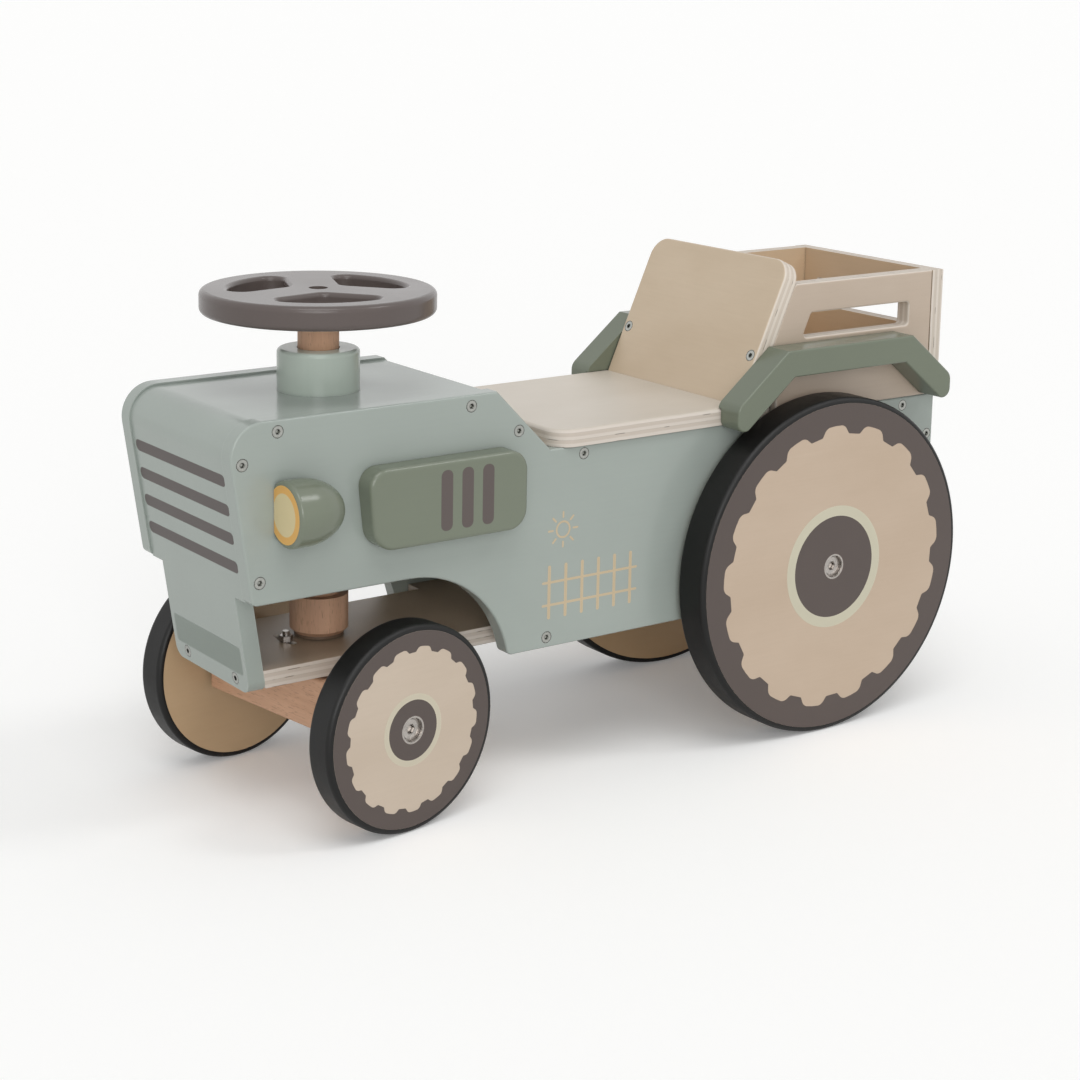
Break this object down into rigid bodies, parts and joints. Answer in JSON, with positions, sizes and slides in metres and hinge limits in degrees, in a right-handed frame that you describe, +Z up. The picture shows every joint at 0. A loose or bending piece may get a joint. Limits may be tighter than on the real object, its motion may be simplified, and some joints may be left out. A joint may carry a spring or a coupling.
{
  "type": "ride-on tractor toy",
  "caption": "Wooden ride-on tractor for toddlers with a boxy hood, steered front axle, flat seat with leaning backrest and an open cargo box behind.",
  "frame": {"origin": "on the floor below the middle of the overall box", "axes": "-Y is the front of the tractor, +X the driver's left, +Z up"},
  "size_m": [0.2226, 0.609, 0.347],
  "materials": {
    "sage_paint": "satin paint",
    "olive_paint": "satin paint",
    "taupe_paint": "satin paint",
    "natural_ply": "clear matt lacquer",
    "beech": "bare, oiled",
    "wheel_ply": "clear lacquer over painted rings",
    "tyre_rubber": "matt",
    "nylon": "matt",
    "zinc_steel": "zinc plated"
  },
  "bodies": {
    "chassis": {"side_panel_left": "sage_paint", "side_panel_right": "sage_paint", "hood_shell": "sage_paint", "dashboard_panel": "sage_paint", "steering_collar": "sage_paint", "rear_cross_panel": "sage_paint", "fender_left": "olive_paint", "fender_right": "olive_paint", "engine_cover_left": "olive_paint", "engine_cover_right": "olive_paint", "headlight_left": "olive_paint", "headlight_right": "olive_paint", "shelf_plate": "natural_ply", "deck_board": "natural_ply", "seat_board": "natural_ply", "backrest": "natural_ply", "box_rear_panel": "natural_ply", "box_side_left": "natural_ply", "box_side_right": "natural_ply", "rear_axle_block": "beech", "rear_spacers": "nylon", "wheel_bolt_rear_left": "zinc_steel", "wheel_bolt_rear_right": "zinc_steel", "body_screws": "zinc_steel", "backrest_screws": "zinc_steel", "tongue_screws": "zinc_steel"},
    "steering": {"steering_wheel": "taupe_paint", "steering_shaft": "beech", "steering_bolt": "zinc_steel", "retaining_collar": "beech", "thrust_washers": "nylon", "front_axle_beam": "beech", "stop_bolt": "zinc_steel", "stop_nut": "zinc_steel", "front_spacers": "nylon", "wheel_bolt_front_left": "zinc_steel", "wheel_bolt_front_right": "zinc_steel"},
    "front_left_wheel": {"wheel_disc_front_left": "wheel_ply", "tyre_front_left": "tyre_rubber", "hub_bush_front_left": "nylon", "hub_cup_front_left": "zinc_steel"},
    "front_right_wheel": {"wheel_disc_front_right": "wheel_ply", "tyre_front_right": "tyre_rubber", "hub_bush_front_right": "nylon", "hub_cup_front_right": "zinc_steel"},
    "rear_left_wheel": {"wheel_disc_rear_left": "wheel_ply", "tyre_rear_left": "tyre_rubber", "hub_bush_rear_left": "nylon", "hub_cup_rear_left": "zinc_steel"},
    "rear_right_wheel": {"wheel_disc_rear_right": "wheel_ply", "tyre_rear_right": "tyre_rubber", "hub_bush_rear_right": "nylon", "hub_cup_rear_right": "zinc_steel"}
  },
  "joints": [
    {"name": "steer", "type": "hinge", "parent": "chassis", "child": "steering", "pos_m": [0, -0.1975, 0.25], "axis": [0, 0, 1], "range_deg": [-28, 12]},
    {"name": "front_left_spin", "type": "hinge", "parent": "steering", "child": "front_left_wheel", "pos_m": [0.08138, -0.19091, 0.07], "axis": [0.9903, 0.1392, 0], "continuous": true},
    {"name": "front_right_spin", "type": "hinge", "parent": "steering", "child": "front_right_wheel", "pos_m": [-0.08004, -0.2136, 0.07], "axis": [0.9903, 0.1392, 0], "continuous": true},
    {"name": "rear_left_spin", "type": "hinge", "parent": "chassis", "child": "rear_left_wheel", "pos_m": [0.0805, 0.1735, 0.125], "axis": [1, 0, 0], "continuous": true},
    {"name": "rear_right_spin", "type": "hinge", "parent": "chassis", "child": "rear_right_wheel", "pos_m": [-0.0805, 0.1735, 0.125], "axis": [1, 0, 0], "continuous": true}
  ]
}
